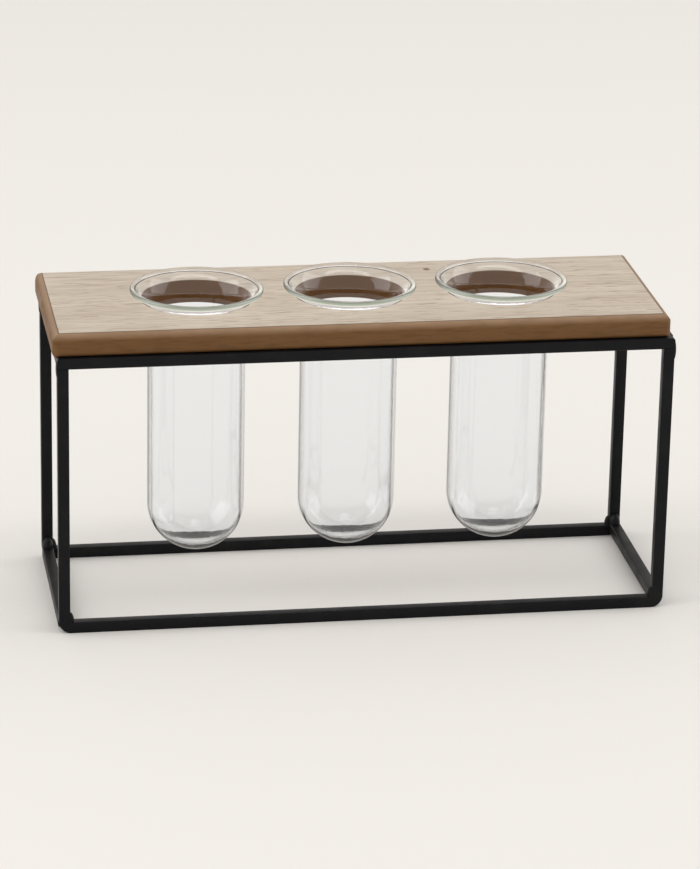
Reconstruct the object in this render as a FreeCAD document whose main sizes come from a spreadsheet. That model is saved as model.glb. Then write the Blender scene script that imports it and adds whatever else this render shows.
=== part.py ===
import FreeCAD, Part
import math
import os
import Sketcher

# Test tube vase: three flared glass tubes hang through holes in a veneered board that rests on
# an open frame of square steel bar. Millimetres, +Z up, +X along the board, front towards -Y.
# The origin is on the surface the vase stands on, under the middle of the whole object.

SIZES = (
    ("frame_length", 300.0, "steel frame, outside, left to right"),
    ("frame_depth", 102.4, "steel frame, outside, front to rear"),
    ("frame_height", 141.0, "floor to the top of the frame's upper bars"),
    ("bar_size", 5.5, "side of the coated square bar"),
    ("bar_edge_radius", 0.5, "rounding along the bar's long edges"),
    ("bend_radius", 0.5, "inside radius of the tight bends at the feet"),
    ("rail_end_radius", 1.5, "rounding of the upper rails' ends, where the weld was ground"),
    ("end_bar_lift", 1.5, "height of the lower end bars off the floor"),
    ("left_cap_length", 8.5, "weld over an upper joint at the left, up and down"),
    ("left_cap_height", 0.55, "how far that weld stands proud"),
    ("right_cap_length", 10.5, "weld over an upper joint at the right, up and down"),
    ("right_cap_height", 1.05, "how far that weld stands proud"),
    ("end_weld_rise", 6.0, "weld above a lower end bar, up the post"),
    ("end_weld_reach", 4.5, "the same weld, along the end bar"),
    ("heel_weld_rise", 5.0, "weld above a foot rail, up the inside of the post"),
    ("heel_weld_reach", 2.2, "the same weld, along the foot rail"),
    ("tab_leg", 16.0, "fixing tab, along each bar of its corner"),
    ("tab_trim", 5.0, "width left at the tips of a fixing tab"),
    ("tab_thickness", 2.0, "fixing tab plate"),
    ("tab_hole_inset", 6.0, "screw centre to the two bars of its corner"),
    ("screw_diameter", 3.2, "wood screw shank"),
    ("screw_length", 10.0, "wood screw, under the head"),
    ("screw_tip", 2.5, "length of the screw's point"),
    ("screw_head_diameter", 6.4, "pan head"),
    ("screw_head_height", 2.2, "pan head"),
    ("screw_head_round", 1.3, "rounding of the pan head"),
    ("screw_recess_width", 1.0, "arm of the cross recess"),
    ("screw_recess_span", 3.6, "tip to tip of the cross recess"),
    ("screw_recess_depth", 1.2, "cross recess"),
    ("screw_hole_clearance", 0.4, "round the screw in its tab, all round"),
    ("pilot_clearance", 0.1, "round the screw in the board, all round"),
    ("board_thickness", 11.5, "board with both veneers"),
    ("veneer_thickness", 0.4, "each veneer"),
    ("board_top_radius", 5.2, "round-over along the board's upper edges"),
    ("board_bottom_radius", 2.5, "rounding along the board's lower edges"),
    ("board_corner_radius", 4.0, "the board's corners, seen from above"),
    ("board_extra_length", 0.5, "board longer than the frame by this"),
    ("board_front_setback", 1.45, "board's front edge behind the frame's"),
    ("board_rear_setback", 0.3, "board's rear edge inside the frame's"),
    ("board_shift", 2.0, "board screwed on this far left of the frame's middle"),
    ("tube_pitch_share", 0.251, "middle of a tube to the next, as a share of the board's length"),
    ("tube_diameter", 48.0, "glass tube, outside"),
    ("glass_wall", 1.4, "wall of the glass tube"),
    ("glass_base", 2.1, "glass at the lowest point of the tube"),
    ("inner_dome_excess", 4.0, "radius of the inner bottom's bowl, over the radius of the bore"),
    ("inner_corner_lack", 2.5, "radius where that bowl turns up into the wall, under the bore's"),
    ("tube_floor_gap", 22.3, "floor to the lowest point of a tube"),
    ("flare_radius", 15.0, "outside curve of the mouth"),
    ("lip_radius", 1.3, "fire polished bead round the mouth, a little thicker than the wall"),
    ("hole_clearance", 3.65, "round the tube in its hole, all round"),
    ("rim_overhang", 4.95, "rim's outer edge past the edge of the hole"),
    ("seat_gap", 0.25, "between the flare and the edge of the hole"),
    ("cut_overrun", 1.0, "how far a cutting shape passes the face it cuts"),
)

doc = FreeCAD.newDocument("test_tube_vase")
sheet = doc.addObject("Spreadsheet::Sheet", "Sizes")
for row, (alias, size, meaning) in enumerate(SIZES, start=1):
    sheet.set(f"A{row}", alias)
    sheet.set(f"B{row}", str(size))
    sheet.setAlias(f"B{row}", alias)
    sheet.set(f"C{row}", meaning)
doc.recompute()

# Places and sizes that several pieces share, as expressions on the sheet. The frame and the board
# lie either side of the origin, so that it is under the middle of the two with the end welds.
END_DIFFERENCE = "(Sizes.right_cap_height - Sizes.board_extra_length / 2)"
FRAME_MIDDLE_X = f"((Sizes.board_shift - {END_DIFFERENCE}) / 2)"
BOARD_MIDDLE_X = f"(-(Sizes.board_shift + {END_DIFFERENCE}) / 2)"
BOARD_LENGTH = "(Sizes.frame_length + Sizes.board_extra_length)"
BOARD_MIDDLE_Y = "((Sizes.board_front_setback - Sizes.board_rear_setback) / 2)"
BOARD_WIDTH = "(Sizes.frame_depth - Sizes.board_front_setback - Sizes.board_rear_setback)"
BOARD_TOP = "(Sizes.frame_height + Sizes.board_thickness)"
TUBE_PITCH = f"({BOARD_LENGTH} * Sizes.tube_pitch_share)"
POST_HEIGHT = "(Sizes.frame_height - Sizes.bar_size)"
CLEAR_LENGTH = "(Sizes.frame_length - 2 * Sizes.bar_size)"
CLEAR_DEPTH = "(Sizes.frame_depth - 2 * Sizes.bar_size)"
BAR_LINE_X = "((Sizes.frame_length - Sizes.bar_size) / 2)"
BAR_LINE_Y = "((Sizes.frame_depth - Sizes.bar_size) / 2)"
SCREW_X = f"({CLEAR_LENGTH} / 2 - Sizes.tab_hole_inset)"
SCREW_Y = f"({CLEAR_DEPTH} / 2 - Sizes.tab_hole_inset)"
TUBE_RADIUS = "(Sizes.tube_diameter / 2)"
BORE_RADIUS = f"({TUBE_RADIUS} - Sizes.glass_wall)"
INNER_DOME_RADIUS = f"({BORE_RADIUS} + Sizes.inner_dome_excess)"
INNER_CORNER_RADIUS = f"({BORE_RADIUS} - Sizes.inner_corner_lack)"
HOLE_RADIUS = f"({TUBE_RADIUS} + Sizes.hole_clearance)"
# The flare starts where its curve, seated on the edge of the hole, comes down to the straight wall
SEAT_RISE = ("sqrt((Sizes.flare_radius - Sizes.seat_gap) ^ 2"
             " - (Sizes.flare_radius - Sizes.hole_clearance) ^ 2)")
FLARE_START = f"({BOARD_TOP} - {SEAT_RISE} - Sizes.tube_floor_gap)"
LIP_CENTRE_RADIUS = f"({HOLE_RADIUS} + Sizes.rim_overhang - Sizes.lip_radius)"


def read(expression):
    """The present value of an expression on the sheet, as a plain number."""
    result = sheet.evalExpression(expression)
    return float(getattr(result, "Value", result))


def place(piece, x="0", y="0", z="0", axis=FreeCAD.Vector(0, 0, 1), turn=0):
    """Turn a piece about its own origin, then bind its place to the sheet."""
    piece.Placement = FreeCAD.Placement(FreeCAD.Vector(), FreeCAD.Rotation(axis, turn))
    for letter, expression in (("x", x), ("y", y), ("z", z)):
        piece.setExpression(f"Placement.Base.{letter}", expression)


def add_body(name):
    """A named body of its own, at the origin."""
    body = doc.addObject("PartDesign::Body", name)
    body.Label = name
    return body


def add_sketch(body, name, role, rise=None):
    """A sketch on one of the body's own planes, moved along the plane's normal by rise."""
    sketch = body.newObject("Sketcher::SketchObject", name)
    plane = next(feature for feature in body.Origin.OriginFeatures if feature.Role == role)
    sketch.AttachmentSupport = [(plane, "")]
    sketch.MapMode = "FlatFace"
    if rise:
        sketch.setExpression("AttachmentOffset.Base.z", rise)
    return sketch


def tie(sketch, kind, *elements):
    """A constraint without a size."""
    sketch.addConstraint(Sketcher.Constraint(kind, *elements))


def dimension(sketch, kind, elements, expression):
    """A constraint whose size is bound to the sheet."""
    index = sketch.addConstraint(Sketcher.Constraint(kind, *elements, read(expression)))
    sketch.setExpression(f"Constraints[{index}]", expression)


def draw_loop(sketch, corners):
    """Straight edges through the corners in turn, closed and joined end to end."""
    count = len(corners)
    for index, corner in enumerate(corners):
        following = corners[(index + 1) % count]
        sketch.addGeometry(Part.LineSegment(FreeCAD.Vector(*corner), FreeCAD.Vector(*following)))
    for index in range(count):
        tie(sketch, "Coincident", index, 2, (index + 1) % count, 1)


def draw_centred_rectangle(sketch, width, height):
    """A rectangle about the sketch's origin."""
    right = read(width) / 2
    top = read(height) / 2
    draw_loop(sketch, [(-right, -top), (right, -top), (right, top), (-right, top)])
    for edge, kind in enumerate(("Horizontal", "Vertical", "Horizontal", "Vertical")):
        tie(sketch, kind, edge)
    tie(sketch, "Symmetric", 0, 1, 1, 2, -1, 1)
    dimension(sketch, "DistanceX", (0, 1, 0, 2), width)
    dimension(sketch, "DistanceY", (1, 1, 1, 2), height)


def draw_standing_rectangle(sketch, width, height, rise=None):
    """A rectangle about the sketch's upright axis, standing on its level axis or rise above it."""
    right = read(width) / 2
    bottom = read(rise) if rise else 0
    top = bottom + read(height)
    draw_loop(sketch, [(-right, bottom), (right, bottom), (right, top), (-right, top)])
    for edge, kind in ((1, "Vertical"), (2, "Horizontal"), (3, "Vertical")):
        tie(sketch, kind, edge)
    tie(sketch, "Symmetric", 0, 1, 0, 2, -2)
    dimension(sketch, "DistanceX", (0, 1, 0, 2), width)
    dimension(sketch, "DistanceY", (1, 1, 1, 2), height)
    if rise:
        dimension(sketch, "DistanceY", (-1, 1, 0, 1), rise)
    else:
        tie(sketch, "PointOnObject", 0, 1, -1)


def pad(body, sketch, length, midplane=False):
    """Extrude a sketch by a length bound to the sheet."""
    feature = body.newObject("PartDesign::Pad", "Pad")
    feature.Profile = sketch
    feature.Midplane = midplane
    feature.setExpression("Length", length)
    sketch.Visibility = False
    doc.recompute()
    return feature


def pocket(body, sketch, depth=None, upwards=False):
    """Cut a sketch to a depth bound to the sheet, or right through both ways."""
    before = body.Shape.Volume
    feature = body.newObject("PartDesign::Pocket", "Pocket")
    feature.Profile = sketch
    feature.Reversed = upwards
    if depth:
        feature.setExpression("Length", depth)
    else:
        feature.Type = "ThroughAll"
        feature.Midplane = True
    sketch.Visibility = False
    doc.recompute()
    if not body.Shape.Volume < before:
        raise RuntimeError(f"{body.Label}: a pocket cuts nothing")
    return feature


def fillet(body, radius, wanted):
    """Round the edges of the body's last feature for which wanted(edge) is true."""
    base = body.Tip
    names = [f"Edge{index}" for index, edge in enumerate(base.Shape.Edges, start=1) if wanted(edge)]
    feature = body.newObject("PartDesign::Fillet", "Fillet")
    feature.Base = (base, names)
    feature.setExpression("Radius", radius)
    doc.recompute()
    return feature


def near(first, second):
    """True where two lengths are the same to a thousandth."""
    return math.isclose(first, second, abs_tol=1e-3)


def runs_along(edge, axis):
    """True for a straight edge parallel to a row axis: 0 for X, 1 for Y, 2 for Z."""
    if edge.Curve.TypeId != "Part::GeomLine":
        return False
    return near(abs(edge.Curve.Direction[axis]), 1)


def group(name, pieces):
    """Like pieces kept together as one group of separate solids."""
    compound = doc.addObject("Part::Compound", name)
    compound.Label = name
    compound.Links = pieces
    doc.recompute()
    return compound


# Frame: two hoops, each one bar bent twice into two posts and a foot rail between them

def make_leg_hoop(name, y):
    hoop = add_body(name)
    face = add_sketch(hoop, "hoop_face", "XZ_Plane")
    draw_standing_rectangle(face, "Sizes.frame_length", POST_HEIGHT)
    pad(hoop, face, "Sizes.bar_size", midplane=True)
    opening = add_sketch(hoop, "hoop_opening", "XZ_Plane")
    opening_height = f"{POST_HEIGHT} - Sizes.bar_size + Sizes.cut_overrun"
    draw_standing_rectangle(opening, CLEAR_LENGTH, opening_height, "Sizes.bar_size")
    pocket(hoop, opening)
    bar = read("Sizes.bar_size")
    fillet(hoop, "Sizes.bend_radius + Sizes.bar_size",
           lambda edge: runs_along(edge, 1) and near(edge.CenterOfMass.z, 0))
    fillet(hoop, "Sizes.bend_radius",
           lambda edge: runs_along(edge, 1) and near(edge.CenterOfMass.z, bar))
    post_top = read(POST_HEIGHT)
    fillet(hoop, "Sizes.bar_edge_radius",
           lambda edge: near(abs(edge.CenterOfMass.y), bar / 2)
           and not near(edge.CenterOfMass.z, post_top))
    place(hoop, x=FRAME_MIDDLE_X, y=y)
    return hoop


# Frame: the straight bars, which close the hoops above and join them at both ends

def make_straight_bar(name, along, length, x, y, z, end_radius=None):
    """A square bar centred on (x, y) with its underside at z, along X or along Y."""
    bar = add_body(name)
    section = add_sketch(bar, "bar_section", "YZ_Plane" if along == 0 else "XZ_Plane")
    draw_standing_rectangle(section, "Sizes.bar_size", "Sizes.bar_size")
    pad(bar, section, length, midplane=True)
    if end_radius:
        top = read("Sizes.bar_size")
        fillet(bar, end_radius,
               lambda edge: runs_along(edge, 1 - along) and near(edge.CenterOfMass.z, top))
    fillet(bar, "Sizes.bar_edge_radius", lambda edge: runs_along(edge, along))
    place(bar, x=f"{FRAME_MIDDLE_X} + {x}", y=y, z=z)
    return bar


def make_frame_bars():
    pieces = []
    for side, sign in (("front", "-"), ("rear", "")):
        line_y = f"{sign}{BAR_LINE_Y}"
        pieces.append(make_leg_hoop(f"{side}_leg_hoop", line_y))
        pieces.append(make_straight_bar(f"{side}_top_rail", 0, "Sizes.frame_length",
                                        "0", line_y, POST_HEIGHT, "Sizes.rail_end_radius"))
    for side, sign in (("left", "-"), ("right", "")):
        line_x = f"({sign}{BAR_LINE_X})"
        pieces.append(make_straight_bar(f"{side}_top_end_bar", 1, CLEAR_DEPTH,
                                        line_x, "0", POST_HEIGHT))
        pieces.append(make_straight_bar(f"{side}_foot_end_bar", 1, CLEAR_DEPTH,
                                        line_x, "0", "Sizes.end_bar_lift"))
    return pieces


# Welds: a low cap over each upper joint, on the frame's ends, and two webs at each foot, one over the
# lower end bar and one over the foot rail

# The four corners of the frame, seen from above, in turn from the front left
CORNERS = (("front_left", -1, -1), ("front_right", 1, -1), ("rear_right", 1, 1), ("rear_left", -1, 1))
WELD_WIDTH = "(Sizes.bar_size - 2 * Sizes.bar_edge_radius)"


def make_cap_weld(name, side, end):
    cap = add_body(f"cap_weld_{name}")
    section = add_sketch(cap, "cap_section", "XZ_Plane")
    hand = "left" if side < 0 else "right"
    cap_length = f"Sizes.{hand}_cap_length"
    cap_height = f"Sizes.{hand}_cap_height"
    half_length = read(cap_length) / 2
    cap_radius = f"(({cap_length} ^ 2 / 4 + {cap_height} ^ 2) / (2 * {cap_height}))"
    radius = read(cap_radius)
    half_angle = math.asin(half_length / radius)
    middle = FreeCAD.Vector(read(cap_height) - radius, 0)
    circle = Part.Circle(middle, FreeCAD.Vector(0, 0, 1), radius)
    section.addGeometry(Part.ArcOfCircle(circle, -half_angle, half_angle))
    section.addGeometry(Part.LineSegment(FreeCAD.Vector(0, half_length), FreeCAD.Vector(0, -half_length)))
    tie(section, "Coincident", 0, 2, 1, 1)
    tie(section, "Coincident", 0, 1, 1, 2)
    tie(section, "Symmetric", 1, 1, 1, 2, -1, 1)
    tie(section, "PointOnObject", 1, 1, -2)
    dimension(section, "DistanceY", (1, 2, 1, 1), cap_length)
    dimension(section, "Radius", (0,), cap_radius)
    pad(cap, section, WELD_WIDTH, midplane=True)
    place(cap, x=f"{FRAME_MIDDLE_X} + {side} * Sizes.frame_length / 2", y=f"{end} * {BAR_LINE_Y}",
          z=f"Sizes.frame_height - Sizes.rail_end_radius - {cap_length} / 2", turn=0 if side > 0 else 180)
    return cap


def make_web_weld(name, plane, web_reach, web_rise, x, y, z, turn, heel_radius=None):
    """A bulging web in the corner between a level bar and a post, in one of the two upright planes."""
    web = add_body(name)
    section = add_sketch(web, "web_section", plane)
    reach = read(web_reach)
    rise = read(web_rise)
    web_radius = f"sqrt({web_reach} ^ 2 + {web_rise} ^ 2)"
    radius = read(web_radius)
    # The face bulges by a sixth of a turn, so the three corners of its sector are one radius apart
    hollow = math.sqrt(3) / 2
    middle = FreeCAD.Vector(reach / 2 - hollow * rise, rise / 2 - hollow * reach)
    circle = Part.Circle(middle, FreeCAD.Vector(0, 0, 1), radius)
    start_angle = math.atan2(-middle.y, reach - middle.x)
    section.addGeometry(Part.LineSegment(FreeCAD.Vector(), FreeCAD.Vector(reach, 0)))
    section.addGeometry(Part.ArcOfCircle(circle, start_angle, start_angle + math.pi / 3))
    section.addGeometry(Part.LineSegment(FreeCAD.Vector(0, rise), FreeCAD.Vector()))
    tie(section, "Coincident", 0, 1, -1, 1)
    tie(section, "Coincident", 2, 2, -1, 1)
    tie(section, "PointOnObject", 0, 2, -1)
    tie(section, "PointOnObject", 2, 1, -2)
    tie(section, "Coincident", 0, 2, 1, 1)
    tie(section, "Coincident", 1, 2, 2, 1)
    dimension(section, "DistanceX", (0, 1, 0, 2), web_reach)
    dimension(section, "DistanceY", (2, 2, 2, 1), web_rise)
    dimension(section, "Radius", (1,), web_radius)
    pad(web, section, WELD_WIDTH, midplane=True)
    if heel_radius:
        fillet(web, heel_radius, lambda edge: near(edge.CenterOfMass.x, 0) and near(edge.CenterOfMass.z, 0))
    place(web, x=f"{FRAME_MIDDLE_X} + {x}", y=y, z=z, turn=turn)
    return web


def make_end_weld(name, side, end):
    return make_web_weld(f"end_weld_{name}", "YZ_Plane", "Sizes.end_weld_reach", "Sizes.end_weld_rise",
                         x=f"{side} * {BAR_LINE_X}", y=f"{end} * {CLEAR_DEPTH} / 2",
                         z="Sizes.end_bar_lift + Sizes.bar_size", turn=0 if end < 0 else 180)


def make_heel_weld(name, side, end):
    return make_web_weld(f"heel_weld_{name}", "XZ_Plane", "Sizes.heel_weld_reach", "Sizes.heel_weld_rise",
                         x=f"{side} * {CLEAR_LENGTH} / 2", y=f"{end} * {BAR_LINE_Y}",
                         z="Sizes.bar_size", turn=0 if side < 0 else 180,
                         heel_radius="Sizes.bend_radius")


def make_welds():
    return [make_weld(*corner) for make_weld in (make_cap_weld, make_end_weld, make_heel_weld)
            for corner in CORNERS]


# Fixing tabs: a trimmed triangle of plate welded flush into each upper corner, with a screw hole

def make_fixing_tab(name, side, end, quarter_turns):
    tab = add_body(f"fixing_tab_{name}")
    outline = add_sketch(tab, "tab_outline", "XY_Plane")
    leg = read("Sizes.tab_leg")
    trim = read("Sizes.tab_trim")
    inset = read("Sizes.tab_hole_inset")
    draw_loop(outline, [(0, 0), (leg, 0), (leg, trim), (trim, leg), (0, leg)])
    hole_radius = "Sizes.screw_diameter / 2 + Sizes.screw_hole_clearance"
    outline.addGeometry(Part.Circle(FreeCAD.Vector(inset, inset), FreeCAD.Vector(0, 0, 1), read(hole_radius)))
    tie(outline, "Coincident", 0, 1, -1, 1)
    for edge, kind in ((0, "Horizontal"), (1, "Vertical"), (3, "Horizontal"), (4, "Vertical")):
        tie(outline, kind, edge)
    dimension(outline, "DistanceX", (0, 1, 0, 2), "Sizes.tab_leg")
    dimension(outline, "DistanceY", (4, 2, 4, 1), "Sizes.tab_leg")
    dimension(outline, "DistanceY", (1, 1, 1, 2), "Sizes.tab_trim")
    dimension(outline, "DistanceX", (3, 2, 3, 1), "Sizes.tab_trim")
    dimension(outline, "DistanceX", (-1, 1, 5, 3), "Sizes.tab_hole_inset")
    dimension(outline, "DistanceY", (-1, 1, 5, 3), "Sizes.tab_hole_inset")
    dimension(outline, "Radius", (5,), hole_radius)
    pad(tab, outline, "Sizes.tab_thickness")
    place(tab, x=f"{FRAME_MIDDLE_X} + {side} * {CLEAR_LENGTH} / 2", y=f"{end} * {CLEAR_DEPTH} / 2",
          z="Sizes.frame_height - Sizes.tab_thickness", turn=90 * quarter_turns)
    return tab


# Board screws: pan head wood screws with a cross recess, driven up through the tabs

def make_board_screw(name, side, end):
    screw = add_body(f"board_screw_{name}")
    profile = add_sketch(screw, "screw_profile", "XZ_Plane")
    head_radius = read("Sizes.screw_head_diameter") / 2
    head_height = read("Sizes.screw_head_height")
    shank_radius = read("Sizes.screw_diameter") / 2
    length = read("Sizes.screw_length")
    straight = length - read("Sizes.screw_tip")
    draw_loop(profile, [(0, head_height), (head_radius, head_height), (head_radius, 0),
                        (shank_radius, 0), (shank_radius, -straight), (0, -length)])
    for edge, kind in ((0, "Horizontal"), (1, "Vertical"), (3, "Vertical")):
        tie(profile, kind, edge)
    for edge, end_point, axis in ((5, 1, -2), (5, 2, -2), (2, 1, -1), (2, 2, -1)):
        tie(profile, "PointOnObject", edge, end_point, axis)
    dimension(profile, "DistanceX", (0, 1, 0, 2), "Sizes.screw_head_diameter / 2")
    dimension(profile, "DistanceY", (1, 2, 1, 1), "Sizes.screw_head_height")
    dimension(profile, "DistanceX", (-1, 1, 2, 2), "Sizes.screw_diameter / 2")
    dimension(profile, "DistanceY", (3, 2, 3, 1), "Sizes.screw_length - Sizes.screw_tip")
    dimension(profile, "DistanceY", (5, 1, -1, 1), "Sizes.screw_length")
    turned = screw.newObject("PartDesign::Revolution", "Revolution")
    turned.Profile = profile
    turned.ReferenceAxis = (profile, ["V_Axis"])
    turned.Angle = 360
    doc.recompute()
    fillet(screw, "Sizes.screw_head_round",
           lambda edge: near(edge.CenterOfMass.z, head_height) and edge.Curve.TypeId == "Part::GeomCircle")
    arms = (("Sizes.screw_recess_span", "Sizes.screw_recess_width"),
            ("Sizes.screw_recess_width", "Sizes.screw_recess_span"))
    for width, height in arms:
        arm = add_sketch(screw, "recess_arm", "XY_Plane", rise="Sizes.screw_head_height")
        draw_centred_rectangle(arm, width, height)
        pocket(screw, arm, "Sizes.screw_recess_depth")
    place(screw, x=f"{FRAME_MIDDLE_X} + {side} * {SCREW_X}", y=f"{end} * {SCREW_Y}",
          z="Sizes.frame_height - Sizes.tab_thickness", axis=FreeCAD.Vector(1, 0, 0), turn=180)
    return screw


def make_fixings():
    tabs = [make_fixing_tab(name, side, end, turns) for turns, (name, side, end) in enumerate(CORNERS)]
    screws = [make_board_screw(name, side, end) for name, side, end in CORNERS]
    return tabs + [group("board_screws", screws)]


# Board: one moulded blank with three holes and the screws' pilot holes, sliced into its layers

def at_level(height):
    """A test for an edge that lies level, at a height of its body."""
    return lambda edge: near(edge.CenterOfMass.z, height) and not runs_along(edge, 2)


def round_board_corners(blank):
    """Cut the four upright corners back to an arc, which leaves the veneer's corners square."""
    waste = add_sketch(blank, "corner_waste", "XY_Plane")
    half_length = read(BOARD_LENGTH) / 2
    half_width = read(BOARD_WIDTH) / 2
    radius = read("Sizes.board_corner_radius")
    for index, (_, side, end) in enumerate(CORNERS):
        tip = FreeCAD.Vector(side * half_length, end * half_width)
        along = FreeCAD.Vector(tip.x - side * radius, tip.y)
        across = FreeCAD.Vector(tip.x, tip.y - end * radius)
        waste.addGeometry(Part.LineSegment(along, tip))
        waste.addGeometry(Part.LineSegment(tip, across))
        circle = Part.Circle(FreeCAD.Vector(along.x, across.y), FreeCAD.Vector(0, 0, 1), radius)
        turned = side * end > 0
        start_angle = math.atan2(end, 0) if not turned else math.atan2(0, side)
        waste.addGeometry(Part.ArcOfCircle(circle, start_angle, start_angle + math.pi / 2))
        first = 3 * index
        tie(waste, "Horizontal", first)
        tie(waste, "Vertical", first + 1)
        tie(waste, "Coincident", first, 2, first + 1, 1)
        tie(waste, "Tangent", first, 1, first + 2, 2 if turned else 1)
        tie(waste, "Tangent", first + 1, 2, first + 2, 1 if turned else 2)
        dimension(waste, "Radius", (first + 2,), "Sizes.board_corner_radius")
        dimension(waste, "DistanceX", (-1, 1, first, 2), f"{side} * {BOARD_LENGTH} / 2")
        dimension(waste, "DistanceY", (-1, 1, first, 2), f"{end} * {BOARD_WIDTH} / 2")
    pocket(blank, waste)


def make_board_blank():
    blank = add_body("board_blank")
    outline = add_sketch(blank, "board_outline", "XY_Plane")
    draw_centred_rectangle(outline, BOARD_LENGTH, BOARD_WIDTH)
    pad(blank, outline, "Sizes.board_thickness")
    fillet(blank, "Sizes.board_top_radius", at_level(read("Sizes.board_thickness")))
    fillet(blank, "Sizes.board_bottom_radius", at_level(0))
    round_board_corners(blank)
    holes = add_sketch(blank, "tube_holes", "XY_Plane")
    for index, step in enumerate((-1, 0, 1)):
        middle = FreeCAD.Vector(step * read(TUBE_PITCH), 0)
        holes.addGeometry(Part.Circle(middle, FreeCAD.Vector(0, 0, 1), read(HOLE_RADIUS)))
        dimension(holes, "Radius", (index,), HOLE_RADIUS)
    tie(holes, "Coincident", 1, 3, -1, 1)
    tie(holes, "Symmetric", 0, 3, 2, 3, -1, 1)
    tie(holes, "PointOnObject", 2, 3, -1)
    dimension(holes, "DistanceX", (-1, 1, 2, 3), TUBE_PITCH)
    pocket(blank, holes)
    pilots = add_sketch(blank, "pilot_holes", "XY_Plane")
    pilot_radius = "Sizes.screw_diameter / 2 + Sizes.pilot_clearance"
    for index, (_, side, end) in enumerate(CORNERS):
        screw_x = f"(Sizes.board_shift + {side} * {SCREW_X})"
        screw_y = f"({end} * {SCREW_Y} - {BOARD_MIDDLE_Y})"
        middle = FreeCAD.Vector(read(screw_x), read(screw_y))
        pilots.addGeometry(Part.Circle(middle, FreeCAD.Vector(0, 0, 1), read(pilot_radius)))
        dimension(pilots, "Radius", (index,), pilot_radius)
        dimension(pilots, "DistanceX", (-1, 1, index, 3), screw_x)
        dimension(pilots, "DistanceY", (-1, 1, index, 3), screw_y)
    pocket(blank, pilots, "Sizes.screw_length - Sizes.tab_thickness + Sizes.pilot_clearance", upwards=True)
    place(blank, x=BOARD_MIDDLE_X, y=BOARD_MIDDLE_Y, z="Sizes.frame_height")
    return blank


def slice_board(name, blank, bottom, thickness):
    """The part of the blank between two levels, both above the board's underside."""
    slab = doc.addObject("Part::Box", f"{name}_slab")
    slab.setExpression("Length", BOARD_LENGTH)
    slab.setExpression("Width", BOARD_WIDTH)
    slab.setExpression("Height", thickness)
    place(slab, x=f"{BOARD_MIDDLE_X} - {BOARD_LENGTH} / 2", y=f"{BOARD_MIDDLE_Y} - {BOARD_WIDTH} / 2",
          z=f"Sizes.frame_height + {bottom}")
    layer = doc.addObject("Part::Common", name)
    layer.Label = name
    layer.Base = blank
    layer.Tool = slab
    doc.recompute()
    return layer


def make_board():
    blank = make_board_blank()
    core_thickness = "(Sizes.board_thickness - 2 * Sizes.veneer_thickness)"
    core_top = "(Sizes.board_thickness - Sizes.veneer_thickness)"
    return [
        slice_board("board_core", blank, "Sizes.veneer_thickness", core_thickness),
        slice_board("top_veneer", blank, core_top, "Sizes.veneer_thickness"),
        slice_board("underside_veneer", blank, "0", "Sizes.veneer_thickness"),
    ]


# Glass tubes: round bottomed, with a heavy base and a flared mouth that hangs on the board's hole

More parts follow.
